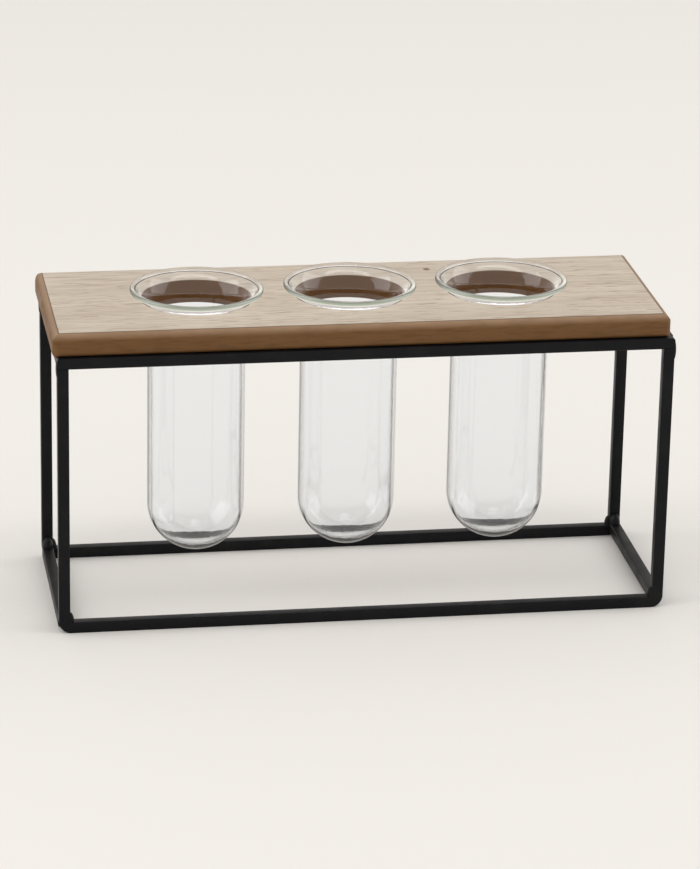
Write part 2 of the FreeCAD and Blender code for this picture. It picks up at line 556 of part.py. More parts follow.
def make_glass_tube(name, step):
    tube = add_body(name)
    profile = add_sketch(tube, "tube_profile", "XZ_Plane")
    outer = read(TUBE_RADIUS)
    bore = read(BORE_RADIUS)
    wall = read("Sizes.glass_wall")
    base = read("Sizes.glass_base")
    dome = read(INNER_DOME_RADIUS)
    corner = read(INNER_CORNER_RADIUS)
    flare = read("Sizes.flare_radius")
    flare_start = read(FLARE_START)
    lip = read("Sizes.lip_radius")
    lip_centre_radius = read(LIP_CENTRE_RADIUS)
    dome_angle = math.asin((bore - corner) / (dome - corner))
    corner_centre_z = base + dome - (dome - corner) * math.cos(dome_angle)
    flare_centre_x = outer + flare
    flare_angle = math.acos((flare_centre_x - lip_centre_radius) / (flare + wall / 2))
    lip_reach = flare + wall / 2
    lip_centre_z = flare_start + lip_reach * math.sin(flare_angle)

    def bead_angle(radius):
        """Round the flare's centre, from the middle of the bead to where it leaves a face of the wall."""
        return math.acos((lip_reach ** 2 + radius ** 2 - lip ** 2) / (2 * lip_reach * radius))

    def bead_direction(radius):
        """Round the bead's centre, the direction of the point where it leaves a face of the wall."""
        angle = math.pi - flare_angle + bead_angle(radius)
        x = flare_centre_x + radius * math.cos(angle) - lip_centre_radius
        z = flare_start + radius * math.sin(angle) - lip_centre_z
        return math.atan2(z, x)

    def line(x1, z1, x2, z2):
        profile.addGeometry(Part.LineSegment(FreeCAD.Vector(x1, z1), FreeCAD.Vector(x2, z2)))

    def arc(x, z, radius, start, finish):
        circle = Part.Circle(FreeCAD.Vector(x, z), FreeCAD.Vector(0, 0, 1), radius)
        profile.addGeometry(Part.ArcOfCircle(circle, start, finish))

    line(0, 0, 0, base)
    arc(0, base + dome, dome, -math.pi / 2, dome_angle - math.pi / 2)
    arc(bore - corner, corner_centre_z, corner, dome_angle - math.pi / 2, 0)
    line(bore, corner_centre_z, bore, flare_start)
    arc(flare_centre_x, flare_start, flare + wall, math.pi - flare_angle + bead_angle(flare + wall), math.pi)
    arc(lip_centre_radius, lip_centre_z, lip, bead_direction(flare), bead_direction(flare + wall))
    arc(flare_centre_x, flare_start, flare, math.pi - flare_angle + bead_angle(flare), math.pi)
    line(outer, flare_start, outer, outer)
    arc(0, outer, outer, -math.pi / 2, 0)
    tie(profile, "Coincident", 0, 1, -1, 1)
    tie(profile, "PointOnObject", 0, 2, -2)
    tie(profile, "Coincident", 0, 2, 1, 1)
    tie(profile, "PointOnObject", 1, 3, -2)
    tie(profile, "Tangent", 1, 2, 2, 1)
    tie(profile, "Tangent", 2, 2, 3, 1)
    tie(profile, "Vertical", 3)
    tie(profile, "Tangent", 3, 2, 4, 2)
    tie(profile, "Coincident", 4, 1, 5, 2)
    tie(profile, "Coincident", 5, 1, 6, 1)
    tie(profile, "Coincident", 4, 3, 6, 3)
    tie(profile, "Tangent", 6, 2, 7, 1)
    tie(profile, "Tangent", 7, 2, 8, 2)
    tie(profile, "PointOnObject", 8, 3, -2)
    tie(profile, "Coincident", 8, 1, 0, 1)
    dimension(profile, "DistanceY", (0, 1, 0, 2), "Sizes.glass_base")
    dimension(profile, "Radius", (1,), INNER_DOME_RADIUS)
    dimension(profile, "Radius", (2,), INNER_CORNER_RADIUS)
    dimension(profile, "DistanceX", (-1, 1, 3, 1), BORE_RADIUS)
    dimension(profile, "DistanceY", (-1, 1, 3, 2), FLARE_START)
    dimension(profile, "DistanceX", (-1, 1, 5, 3), LIP_CENTRE_RADIUS)
    dimension(profile, "Distance", (5, 3, 6, 3), "Sizes.flare_radius + Sizes.glass_wall / 2")
    dimension(profile, "Radius", (5,), "Sizes.lip_radius")
    dimension(profile, "Radius", (6,), "Sizes.flare_radius")
    dimension(profile, "Radius", (8,), TUBE_RADIUS)
    blown = tube.newObject("PartDesign::Revolution", "Revolution")
    blown.Profile = profile
    blown.ReferenceAxis = (profile, ["V_Axis"])
    blown.Angle = 360
    doc.recompute()
    place(tube, x=f"{BOARD_MIDDLE_X} + {step} * {TUBE_PITCH}", y=BOARD_MIDDLE_Y, z="Sizes.tube_floor_gap")
    return tube


def make_tubes():
    return [make_glass_tube(f"glass_tube_{name}", step)
            for name, step in (("left", -1), ("middle", 0), ("right", 1))]


def check_document(nodes):
    """Stop before anything is written if a feature failed or a node has no sound solid."""
    for item in doc.Objects:
        if "Invalid" in item.State or "Error" in item.State:
            raise RuntimeError(f"{item.Label} did not build: {item.State}")
        if item.TypeId == "Sketcher::SketchObject" and item.solve() != 0:
            raise RuntimeError(f"{item.Label} does not solve")
    for node in nodes:
        if node.Shape.isNull() or not node.Shape.isValid() or not node.Shape.Solids:
            raise RuntimeError(f"{node.Label} has no valid solid")


nodes = make_frame_bars() + make_welds() + make_fixings() + make_board() + make_tubes()
doc.recompute()
check_document(nodes)
os.makedirs("parts", exist_ok=True)
for node in nodes:
    node.Shape.exportStep(f"parts/{node.Label}.step")
    box = node.Shape.optimalBoundingBox(False)
    print(f"{node.Label}: {len(node.Shape.Solids)} solid(s), {node.Shape.Volume:.1f} mm3, "
          f"X {box.XMin:.2f} to {box.XMax:.2f}, Y {box.YMin:.2f} to {box.YMax:.2f}, "
          f"Z {box.ZMin:.2f} to {box.ZMax:.2f}")
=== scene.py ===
import math

import bpy
from mathutils import Matrix, Vector


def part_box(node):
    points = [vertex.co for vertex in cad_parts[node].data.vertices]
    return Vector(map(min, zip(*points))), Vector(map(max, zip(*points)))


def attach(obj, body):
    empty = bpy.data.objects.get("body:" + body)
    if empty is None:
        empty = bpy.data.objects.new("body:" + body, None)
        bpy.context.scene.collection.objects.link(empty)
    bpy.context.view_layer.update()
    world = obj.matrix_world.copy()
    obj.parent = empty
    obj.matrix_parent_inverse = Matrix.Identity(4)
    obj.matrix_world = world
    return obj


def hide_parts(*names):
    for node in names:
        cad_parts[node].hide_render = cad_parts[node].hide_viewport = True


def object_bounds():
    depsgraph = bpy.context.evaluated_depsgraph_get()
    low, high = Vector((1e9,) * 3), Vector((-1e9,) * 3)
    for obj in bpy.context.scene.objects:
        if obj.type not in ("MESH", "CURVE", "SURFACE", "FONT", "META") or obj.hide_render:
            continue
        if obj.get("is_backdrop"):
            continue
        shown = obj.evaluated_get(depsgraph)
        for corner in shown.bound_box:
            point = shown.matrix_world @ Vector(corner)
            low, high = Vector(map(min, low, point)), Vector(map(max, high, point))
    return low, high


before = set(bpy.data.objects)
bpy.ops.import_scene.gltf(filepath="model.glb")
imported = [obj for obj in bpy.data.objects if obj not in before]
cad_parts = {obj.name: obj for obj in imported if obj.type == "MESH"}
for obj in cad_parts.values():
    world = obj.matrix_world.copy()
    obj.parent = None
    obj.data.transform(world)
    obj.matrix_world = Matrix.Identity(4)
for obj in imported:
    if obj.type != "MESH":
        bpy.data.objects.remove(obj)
cad_low, cad_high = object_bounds()
scene = bpy.context.scene

# Leg hoops: the front and rear of the steel frame. Each is one 5 mm square bar bent tightly at both
# feet, so that two posts and the foot rail between them are a single piece.

BEND_INSIDE = 0.0005
BAR_EDGE = 0.0005
BEND_STEPS = 10
EDGE_STEPS = 3
OVERCUT = 0.004
SAME_PLACE = BAR_EDGE / 10
NEARLY_PARALLEL = 0.9995
STEEL_CREASE = math.radians(40)

hoop_low, hoop_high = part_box("front_leg_hoop")
BAR = hoop_high.y - hoop_low.y
BEND_OUTSIDE = BEND_INSIDE + BAR


def add_block(name, low, high):
    """A rectangular block between two corners, with its place in its mesh."""
    bpy.ops.object.select_all(action="DESELECT")
    bpy.ops.mesh.primitive_cube_add(size=1, location=(low + high) / 2)
    block = bpy.context.object
    block.name = name
    block.scale = high - low
    bpy.ops.object.transform_apply(location=True, rotation=True, scale=True)
    return block


def select_only(piece):
    """Make a piece the only selected object, and the active one."""
    bpy.ops.object.select_all(action="DESELECT")
    piece.select_set(True)
    bpy.context.view_layer.objects.active = piece


def bevel_edges(piece, wanted, radius, steps):
    """Round the edges of a piece for which wanted(start, end) is true."""
    select_only(piece)
    bpy.ops.object.mode_set(mode="EDIT")
    bpy.ops.mesh.select_mode(type="EDGE")
    bpy.ops.mesh.select_all(action="DESELECT")
    bpy.ops.object.mode_set(mode="OBJECT")
    places = [vertex.co.copy() for vertex in piece.data.vertices]
    for edge in piece.data.edges:
        edge.select = wanted(places[edge.vertices[0]], places[edge.vertices[1]])
    bpy.ops.object.mode_set(mode="EDIT")
    bpy.ops.mesh.bevel(offset=radius, offset_type="OFFSET", segments=steps, profile=0.5, affect="EDGES")
    bpy.ops.object.mode_set(mode="OBJECT")


def lies_along(axis):
    """A test for edges parallel to an axis: 0 for X, 1 for Y, 2 for Z."""
    return lambda start, end: abs((end - start).normalized()[axis]) > NEARLY_PARALLEL


def combine(piece, tool, operation):
    """Cut a piece by a tool, or keep what the two share. The tool is used up."""
    select_only(piece)
    modifier = piece.modifiers.new("combine", "BOOLEAN")
    modifier.operation = operation
    modifier.object = tool
    modifier.solver = "EXACT"
    bpy.ops.object.modifier_apply(modifier=modifier.name)
    bpy.data.objects.remove(tool)


def smooth(piece, angle=STEEL_CREASE):
    """Shade the round stretches smooth and leave the corners sharper than the angle crisp."""
    select_only(piece)
    bpy.ops.object.shade_smooth_by_angle(angle=angle)


def add_hoop(name, node):
    """A hoop in the place of its CAD node: the outline is cut out and the long edges are rounded."""
    low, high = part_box(node)
    hoop = add_block(name, low, high)
    bevel_edges(hoop, lambda start, end: lies_along(1)(start, end) and start.z < low.z + BAR_EDGE,
                BEND_OUTSIDE, BEND_STEPS)
    inside_low = Vector((low.x + BAR, low.y - OVERCUT, low.z + BAR))
    inside_high = Vector((high.x - BAR, high.y + OVERCUT, high.z + OVERCUT))
    opening = add_block("hoop_opening", inside_low, inside_high)
    bevel_edges(opening, lambda start, end: lies_along(1)(start, end) and start.z < inside_low.z + BAR_EDGE,
                BEND_INSIDE, EDGE_STEPS)
    combine(hoop, opening, "DIFFERENCE")
    bevel_edges(hoop,
                lambda start, end: abs(start.y - end.y) < SAME_PLACE
                and min(start.z, end.z) < high.z - SAME_PLACE,
                BAR_EDGE, EDGE_STEPS)
    smooth(hoop)
    return hoop


hoops = []
for side in ("front", "rear"):
    hoop = add_hoop(f"{side}_bent_hoop", f"{side}_leg_hoop")
    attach(hoop, "stand")
    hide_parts(f"{side}_leg_hoop")
    hoops.append(hoop)

# Straight bars: the upper rectangle that the board lies on and the two low bars between the hoops'
# feet, all of the same square bar. The ends of the upper rails are ground round over the welds.

RAIL_END = 0.0015
RAIL_END_STEPS = 5


def add_bar(name, node, along, end_radius=0):
    """A square bar in the place of its CAD node, with rounded long edges."""
    low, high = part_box(node)
    bar = add_block(name, low, high)
    if end_radius:
        bevel_edges(bar, lambda start, end: lies_along(1 - along)(start, end) and start.z > high.z - BAR_EDGE,
                    end_radius, RAIL_END_STEPS)
    bevel_edges(bar, lies_along(along), BAR_EDGE, EDGE_STEPS)
    smooth(bar)
    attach(bar, "stand")
    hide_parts(node)
    return bar


bars = [add_bar(f"{side}_upper_rail", f"{side}_top_rail", 0, RAIL_END) for side in ("front", "rear")]
for side in ("left", "right"):
    bars.append(add_bar(f"{side}_upper_end_bar", f"{side}_top_end_bar", 1))
    bars.append(add_bar(f"{side}_low_end_bar", f"{side}_foot_end_bar", 1))

# Welds: beads of weld metal under the same coat. A low cap covers each upper joint on the frame's
# ends, and at each foot a web fills the corner above the low end bar and above the foot rail. A web
# stays a little inside the box of its CAD node, whose section is a triangle.

WELD_ROUND = 32
WELD_RINGS = 16
WELD_CREASE = math.radians(60)
WEB_FULLNESS = 0.92
CORNERS = ("front_left", "front_right", "rear_right", "rear_left")


def add_bead(name, node, middle, radii):
    """An egg-shaped bead about a point on the steel, half sunk in it."""
    bpy.ops.object.select_all(action="DESELECT")
    bpy.ops.mesh.primitive_uv_sphere_add(segments=WELD_ROUND, ring_count=WELD_RINGS, radius=1,
                                         location=middle)
    bead = bpy.context.object
    bead.name = name
    bead.scale = radii
    bpy.ops.object.transform_apply(location=True, rotation=True, scale=True)
    smooth(bead, WELD_CREASE)
    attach(bead, "stand")
    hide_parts(node)
    return bead


beads = []
for corner in CORNERS:
    at_left = corner.endswith("left")
    at_front = corner.startswith("front")
    low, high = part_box(f"cap_weld_{corner}")
    face_x = high.x if at_left else low.x
    middle = Vector((face_x, (low.y + high.y) / 2, (low.z + high.z) / 2))
    beads.append(add_bead(f"cap_bead_{corner}", f"cap_weld_{corner}", middle,
                          (high.x - low.x, (BAR - BAR_EDGE) / 2, (high.z - low.z) / 2)))
    low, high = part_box(f"end_weld_{corner}")
    face_y = low.y if at_front else high.y
    middle = Vector(((low.x + high.x) / 2, face_y, low.z))
    beads.append(add_bead(f"end_bead_{corner}", f"end_weld_{corner}", middle,
                          (BAR / 2, WEB_FULLNESS * (high.y - low.y), WEB_FULLNESS * (high.z - low.z))))
    low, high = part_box(f"heel_weld_{corner}")
    face_x = low.x if at_left else high.x
    middle = Vector((face_x, (low.y + high.y) / 2, low.z))
    beads.append(add_bead(f"heel_bead_{corner}", f"heel_weld_{corner}", middle,
                          (WEB_FULLNESS * (high.x - low.x), BAR / 2, WEB_FULLNESS * (high.z - low.z))))

# Powder coat: a satin black skin baked on the whole frame after welding. It has a fine orange peel,
# a little dust on it, and a coarser surface over the welds.

COAT_BLACK = (0.0050, 0.0049, 0.0060, 1)
COAT_DUST = (0.0088, 0.0087, 0.0090, 1)
COAT_ROUGHNESS = (0.36, 0.46)
COAT_SPECULAR = 0.14
PEEL_SIZE = 0.0011
PEEL_HEIGHT = 0.0001
WELD_PEEL_SIZE = 0.0022
WELD_PEEL_HEIGHT = 0.0006
PEEL_STRENGTH = 0.25
DUST_SIZE = 0.012
DUST_SHOWS = (0.45, 0.75)
MIDDLE_OF_GRAIN = (0.35, 0.65)
MOST_OF_GRAIN = (0.3, 0.7)


def new_material(name):
    """An empty material with its Principled shader and node tree."""
    material = bpy.data.materials.new(name)
    material.use_nodes = True
    tree = material.node_tree
    return material, tree.nodes["Principled BSDF"], tree


def new_group(name, inputs, outputs):
    """A shader node group with named sockets: (group, its input node, its output node)."""
    group = bpy.data.node_groups.new(name, "ShaderNodeTree")
    for label, kind, value in inputs:
        socket = group.interface.new_socket(label, in_out="INPUT", socket_type=kind)
        socket.default_value = value
    for label, kind in outputs:
        group.interface.new_socket(label, in_out="OUTPUT", socket_type=kind)
    return group, group.nodes.new("NodeGroupInput"), group.nodes.new("NodeGroupOutput")


def add_node(tree, kind, **values):
    """A shader node with some of its inputs set by name, or linked where a socket is given."""
    node = tree.nodes.new(f"ShaderNode{kind}")
    for label, value in values.items():
        socket = node.inputs[label.replace("_", " ")]
        if isinstance(value, bpy.types.NodeSocket):
            tree.links.new(value, socket)
        else:
            socket.default_value = value
    return node


def add_math(tree, operation, first, second=0.0):
    """A math node's result: the operation on two sockets or numbers."""
    node = tree.nodes.new("ShaderNodeMath")
    node.operation = operation
    for socket, value in zip(node.inputs, (first, second)):
        if isinstance(value, bpy.types.NodeSocket):
            tree.links.new(value, socket)
        else:
            socket.default_value = value
    return node.outputs["Value"]


def add_range(tree, value, low, high, to_low=0.0, to_high=1.0):
    """A value mapped smoothly from one range to another."""
    node = add_node(tree, "MapRange", Value=value, From_Min=low, From_Max=high, To_Min=to_low, To_Max=to_high)
    node.interpolation_type = "SMOOTHSTEP"
    return node.outputs["Result"]


def add_mix(tree, share, first, second):
    """A colour between two colours."""
    node = tree.nodes.new("ShaderNodeMix")
    node.data_type = "RGBA"
    for socket, value in zip((node.inputs[0], node.inputs[6], node.inputs[7]), (share, first, second)):
        if isinstance(value, bpy.types.NodeSocket):
            tree.links.new(value, socket)
        else:
            socket.default_value = value
    return node.outputs[2]


def add_vector_math(tree, operation, first, second):
    """A vector math node's result: the operation on two sockets."""
    node = tree.nodes.new("ShaderNodeVectorMath")
    node.operation = operation
    tree.links.new(first, node.inputs[0])
    tree.links.new(second, node.inputs[1])
    return node.outputs["Vector"]


# The grain that every finish shares: noise on the object whose grains have a given size in metres.
grain_group, given, result = new_group(
    "grain",
    [("Grain Size", "NodeSocketVector", (0.001, 0.001, 0.001)), ("Detail", "NodeSocketFloat", 2.0),
     ("Shift", "NodeSocketFloat", 0.0)],
    [("Grain", "NodeSocketFloat")])
on_object = grain_group.nodes.new("ShaderNodeTexCoord").outputs["Object"]
stretched = add_vector_math(grain_group, "DIVIDE", on_object, given.outputs["Grain Size"])
shifted = add_vector_math(grain_group, "ADD", stretched, given.outputs["Shift"])
noise = add_node(grain_group, "TexNoise", Vector=shifted, Scale=1.0, Detail=given.outputs["Detail"])
grain_group.links.new(noise.outputs["Fac"], result.inputs["Grain"])


def add_grain(tree, size, detail=2.0, shift=0.0):
    """The shared grain in a material: its size along X, Y and Z, its fine detail, and a shift aside."""
    grain = add_node(tree, "Group")
    grain.node_tree = grain_group
    grain.inputs["Grain Size"].default_value = size
    grain.inputs["Detail"].default_value = detail
    grain.inputs["Shift"].default_value = shift
    return grain.outputs["Grain"]


def add_bump(tree, shader, height, strength, distance):
    """Raise a finish's surface by a grain."""
    bump = add_node(tree, "Bump", Height=height, Strength=strength, Distance=distance)
    tree.links.new(bump.outputs["Normal"], shader.inputs["Normal"])


def make_coat(name, peel_height, peel_size):
    """The black coat on steel, with an orange peel of the given height and size."""
    material, shader, tree = new_material(name)
    dust = add_grain(tree, (DUST_SIZE,) * 3, detail=4.0)
    dust_mask = add_range(tree, dust, *DUST_SHOWS)
    tree.links.new(add_mix(tree, dust_mask, COAT_BLACK, COAT_DUST), shader.inputs["Base Color"])
    tree.links.new(add_range(tree, dust, *MIDDLE_OF_GRAIN, *COAT_ROUGHNESS), shader.inputs["Roughness"])
    shader.inputs["Specular IOR Level"].default_value = COAT_SPECULAR
    add_bump(tree, shader, add_grain(tree, (peel_size,) * 3), PEEL_STRENGTH, peel_height)
    return material


def dress(piece, material):
    """Give a piece its one material."""
    piece.data.materials.clear()
    piece.data.materials.append(material)


coat = make_coat("satin_black_powder_coat", PEEL_HEIGHT, PEEL_SIZE)
weld_coat = make_coat("powder_coat_over_weld", WELD_PEEL_HEIGHT, WELD_PEEL_SIZE)
for piece in hoops + bars:
    dress(piece, coat)
for piece in beads:
    dress(piece, weld_coat)

# Fixing tabs: small plates of 2 mm steel welded flush into the frame's upper corners before coating,
# each with a clearance hole for one of the screws that hold the board down.

for corner in CORNERS:
    dress(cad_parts[f"fixing_tab_{corner}"], coat)

# Board screws: four zinc-plated pan head wood screws, driven up through the tabs into the board.

ZINC = (0.62, 0.63, 0.65, 1)
ZINC_BRUSHING = (0.0004, 0.0004, 0.002)
ZINC_ROUGHNESS = (0.22, 0.40)

zinc, shader, tree = new_material("bright_zinc_plate")
shader.inputs["Base Color"].default_value = ZINC
shader.inputs["Metallic"].default_value = 1.0
brushed = add_grain(tree, ZINC_BRUSHING)
tree.links.new(add_range(tree, brushed, *MOST_OF_GRAIN, *ZINC_ROUGHNESS), shader.inputs["Roughness"])
dress(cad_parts["board_screws"], zinc)

# Board: a fibreboard core between two thin veneers, 11.5 mm thick in all. It is cut to size with
# rounded corners, its upper edges are rounded over with a router, and three holes for the tubes are
# bored through it.

TOP_ROUND = 0.0052
BOTTOM_ROUND = 0.0025
CORNER_ROUND = 0.0040
ROUND_STEPS = 12
HOLE_RADIUS = 0.02765
HOLE_SIDES = 192
DRILL_LENGTH = 0.032
BOARD_CREASE = math.radians(30)

core_low, core_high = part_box("board_core")
veneer_low, veneer_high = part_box("top_veneer")
under_low, under_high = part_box("underside_veneer")
board_low = Vector((core_low.x, core_low.y, under_low.z))
board_high = Vector((core_high.x, core_high.y, veneer_high.z))
TUBES = ("left", "middle", "right")
tube_middles = [sum(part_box(f"glass_tube_{word}"), Vector()) / 2 for word in TUBES]


def add_edge_profile(axis):
    """A block with the board's section across one of its level axes, and a little longer along it."""
    beyond = Vector((OVERCUT, 0, 0)) if axis == 0 else Vector((0, OVERCUT, 0))
    low = board_low - beyond
    high = board_high + beyond
    profile = add_block("edge_profile", low, high)
    along = lies_along(axis)
    bevel_edges(profile, lambda start, end: along(start, end) and start.z > high.z - BOTTOM_ROUND,
                TOP_ROUND, ROUND_STEPS)
    bevel_edges(profile, lambda start, end: along(start, end) and start.z < low.z + BAR_EDGE
                and min(start[1 - axis] - low[1 - axis], high[1 - axis] - start[1 - axis]) < BAR_EDGE,
                BOTTOM_ROUND, ROUND_STEPS)
    return profile


def add_board_layer(name, low_z, high_z):
    """One layer of the board between two levels, with its holes bored."""
    layer = add_block(name, Vector((board_low.x, board_low.y, low_z)),
                      Vector((board_high.x, board_high.y, high_z)))
    bevel_edges(layer, lies_along(2), CORNER_ROUND, ROUND_STEPS)
    for axis in (0, 1):
        combine(layer, add_edge_profile(axis), "INTERSECT")
    for middle in tube_middles:
        bpy.ops.object.select_all(action="DESELECT")
        bpy.ops.mesh.primitive_cylinder_add(vertices=HOLE_SIDES, radius=HOLE_RADIUS, depth=DRILL_LENGTH,
                                            location=(middle.x, middle.y, board_low.z))
        drill = bpy.context.object
        bpy.ops.object.transform_apply(location=True, rotation=True, scale=True)
        combine(layer, drill, "DIFFERENCE")
    smooth(layer, BOARD_CREASE)
    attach(layer, "stand")
    return layer


core = add_board_layer("fibreboard_core", core_low.z, core_high.z)
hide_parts("board_core")
face_veneer = add_board_layer("face_veneer", veneer_low.z, veneer_high.z)
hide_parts("top_veneer")
back_veneer = add_board_layer("back_veneer", under_low.z, under_high.z)
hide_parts("underside_veneer")

# Stain on the fibreboard: brown, wiped on by hand and streaked along the edge. It is made paler in
# blotches towards the top of the round-over as a painted highlight, and darker in the bored holes as
# painted shade.

STAIN_FLAT = (0.155, 0.074, 0.025, 1)
STAIN_DARK = (0.108, 0.049, 0.014, 1)
# The next two colours are painted light: a pale highlight on the round-over and shade in the holes.
STAIN_PAINTED_HIGHLIGHT = (0.330, 0.212, 0.127, 1)
STAIN_HOLE_PAINTED_SHADE = (0.122, 0.050, 0.012, 1)
STAIN_ROUGHNESS = (0.45, 0.62)
STAIN_SPECULAR = 0.2
WIPE_GRAIN = (0.009, 0.009, 0.0012)
WIPES_SHOW = (0.42, 0.70)
WIPE_SHARE = 0.6
BLOTCH_GRAIN = (0.012, 0.012, 0.006)
BLOTCHES_SHOW = (0.25, 0.7)
PAINTED_HIGHLIGHT_SHARE = (0.65, 1.0)
FIBRE_GRAIN = (0.0012, 0.0012, 0.0004)
FIBRE_STRENGTH = 0.3
FIBRE_HEIGHT = 0.0001
PAINTED_HIGHLIGHT_FROM = board_high.z - 0.75 * TOP_ROUND

# Half the width and half the length of the oblong that holds the three holes, but not the board's edges.
HOLE_LINE_SIDE = HOLE_RADIUS + BAR_EDGE
HOLE_LINE_END = tube_middles[2].x - tube_middles[1].x + HOLE_LINE_SIDE


def add_within(tree, value, middle, reach):
    """A mask that is 1 where a value lies within a reach of a middle, and 0 beyond."""
    distance = add_math(tree, "ABSOLUTE", add_math(tree, "SUBTRACT", value, middle))
    return add_math(tree, "LESS_THAN", distance, reach)


stain, shader, tree = new_material("brown_stained_edge")
place = tree.nodes.new("ShaderNodeTexCoord")
split = add_node(tree, "SeparateXYZ", Vector=place.outputs["Object"])
wipes = add_grain(tree, WIPE_GRAIN, detail=3.0)
blotches = add_grain(tree, BLOTCH_GRAIN, detail=3.0, shift=4.0)
# Painted highlight: paler stain towards the top of the round-over, where it faces up, in blotches.
painted_highlight_height = add_range(tree, split.outputs["Z"], PAINTED_HIGHLIGHT_FROM, board_high.z)
painted_highlight_share = add_math(tree, "MULTIPLY", painted_highlight_height, add_range(tree, blotches, *BLOTCHES_SHOW, *PAINTED_HIGHLIGHT_SHARE))
# Painted shade: darker stain inside the bored holes.
in_length = add_within(tree, split.outputs["X"], tube_middles[1].x, HOLE_LINE_END)
in_width = add_within(tree, split.outputs["Y"], tube_middles[1].y, HOLE_LINE_SIDE)
in_hole = add_math(tree, "MULTIPLY", in_length, in_width)
wiped = add_mix(tree, add_range(tree, wipes, *WIPES_SHOW, 0.0, WIPE_SHARE), STAIN_FLAT, STAIN_DARK)
painted_highlight = add_mix(tree, painted_highlight_share, wiped, STAIN_PAINTED_HIGHLIGHT)
tree.links.new(add_mix(tree, in_hole, painted_highlight, STAIN_HOLE_PAINTED_SHADE), shader.inputs["Base Color"])
tree.links.new(add_range(tree, blotches, *MOST_OF_GRAIN, *STAIN_ROUGHNESS), shader.inputs["Roughness"])
shader.inputs["Specular IOR Level"].default_value = STAIN_SPECULAR
add_bump(tree, shader, add_grain(tree, FIBRE_GRAIN, detail=3.0), FIBRE_STRENGTH, FIBRE_HEIGHT)
dress(core, stain)

# Veneer: pale greige, straight grained along the board, with short thin grey-brown dashes and one pin
# knot, under a thin matt lacquer. Its edge, where the round-over cuts through it, is a fine darker line.

VENEER_MAIN = (0.508, 0.425, 0.338, 1)
VENEER_PALE = (0.576, 0.490, 0.396, 1)
VENEER_STREAK = (0.445, 0.358, 0.276, 1)
VENEER_DASH = (0.330, 0.255, 0.190, 1)
VENEER_RIM = (0.130, 0.083, 0.055, 1)
RIM_FROM = veneer_high.z - 0.00020
RIM_FULL = veneer_high.z - 0.00026
KNOT_PLACE = (0.0426, 0.0333)
KNOT_SIZE = (0.0017, 0.0019)
KNOT_FADE = (1.6, 0.3)
KNOT_COLOUR = (0.180, 0.110, 0.066, 1)
BAND_GRAIN = (0.120, 0.006, 0.006)
BANDS_SHOW = (0.35, 0.68)
STREAK_GRAIN = (0.030, 0.0018, 0.0018)
STREAKS_SHOW = (0.44, 0.70)
STREAK_SHARE = 0.85
DASH_GRAIN = (0.011, 0.0010, 0.0010)
DASHES_SHOW = (0.56, 0.67)
DASH_SHARE = 0.8
PORE_GRAIN = (0.006, 0.0004, 0.0004)
PORES_SHOW = (0.45, 0.75)
PORE_SHARE = 0.3
PORE_STRENGTH = 0.25
PORE_DEPTH = 0.00008
VENEER_ROUGHNESS = (0.48, 0.60)
VENEER_SPECULAR = 0.3

veneer, shader, tree = new_material("pale_straight_grained_veneer")
place = tree.nodes.new("ShaderNodeTexCoord")
split = add_node(tree, "SeparateXYZ", Vector=place.outputs["Object"])
bands = add_grain(tree, BAND_GRAIN, detail=3.0)
streaks = add_grain(tree, STREAK_GRAIN, detail=3.0, shift=7.0)
dashes = add_grain(tree, DASH_GRAIN, shift=5.0)
pores = add_grain(tree, PORE_GRAIN, shift=3.0)
ground = add_mix(tree, add_range(tree, bands, *BANDS_SHOW), VENEER_MAIN, VENEER_PALE)
streaked = add_mix(tree, add_range(tree, streaks, *STREAKS_SHOW, 0.0, STREAK_SHARE), ground, VENEER_STREAK)
dashed = add_mix(tree, add_range(tree, dashes, *DASHES_SHOW, 0.0, DASH_SHARE), streaked, VENEER_DASH)
grained = add_mix(tree, add_range(tree, pores, *PORES_SHOW, 0.0, PORE_SHARE), dashed, VENEER_STREAK)
knot_x, knot_y = [
    add_math(tree, "DIVIDE", add_math(tree, "SUBTRACT", split.outputs[axis], middle), size)
    for axis, middle, size in zip("XY", KNOT_PLACE, KNOT_SIZE)]
knot_distance = add_math(tree, "ADD", add_math(tree, "MULTIPLY", knot_x, knot_x),
                         add_math(tree, "MULTIPLY", knot_y, knot_y))
knotted = add_mix(tree, add_range(tree, knot_distance, *KNOT_FADE), grained, KNOT_COLOUR)
rim = add_range(tree, split.outputs["Z"], RIM_FROM, RIM_FULL)
tree.links.new(add_mix(tree, rim, knotted, VENEER_RIM), shader.inputs["Base Color"])
tree.links.new(add_range(tree, bands, *MOST_OF_GRAIN, *VENEER_ROUGHNESS), shader.inputs["Roughness"])
shader.inputs["Specular IOR Level"].default_value = VENEER_SPECULAR
add_bump(tree, shader, pores, PORE_STRENGTH, PORE_DEPTH)
for piece in (face_veneer, back_veneer):
    dress(piece, veneer)

# Glass tubes: three flared test tubes of clear glass, blown with a round bottom and a fire polished
# lip, a bead a little thicker than the wall. Each hangs loose in its hole by the flare.

TUBE_RADIUS = 0.024
GLASS_WALL = 0.0014
GLASS_BASE = 0.0021
BORE = TUBE_RADIUS - GLASS_WALL
DOME_RADIUS = BORE + 0.0040
INNER_CORNER = BORE - 0.0025
FLARE_RADIUS = 0.015
LIP_RADIUS = 0.0013
POLE_RADIUS = 0.0002
TUBE_SIDES = 192
FLARE_STEPS = 20
BOTTOM_STEPS = 32
LIP_STEPS = 16
CORNER_STEPS = 24
DOME_STEPS = 8
GLASS_CREASE = math.radians(50)

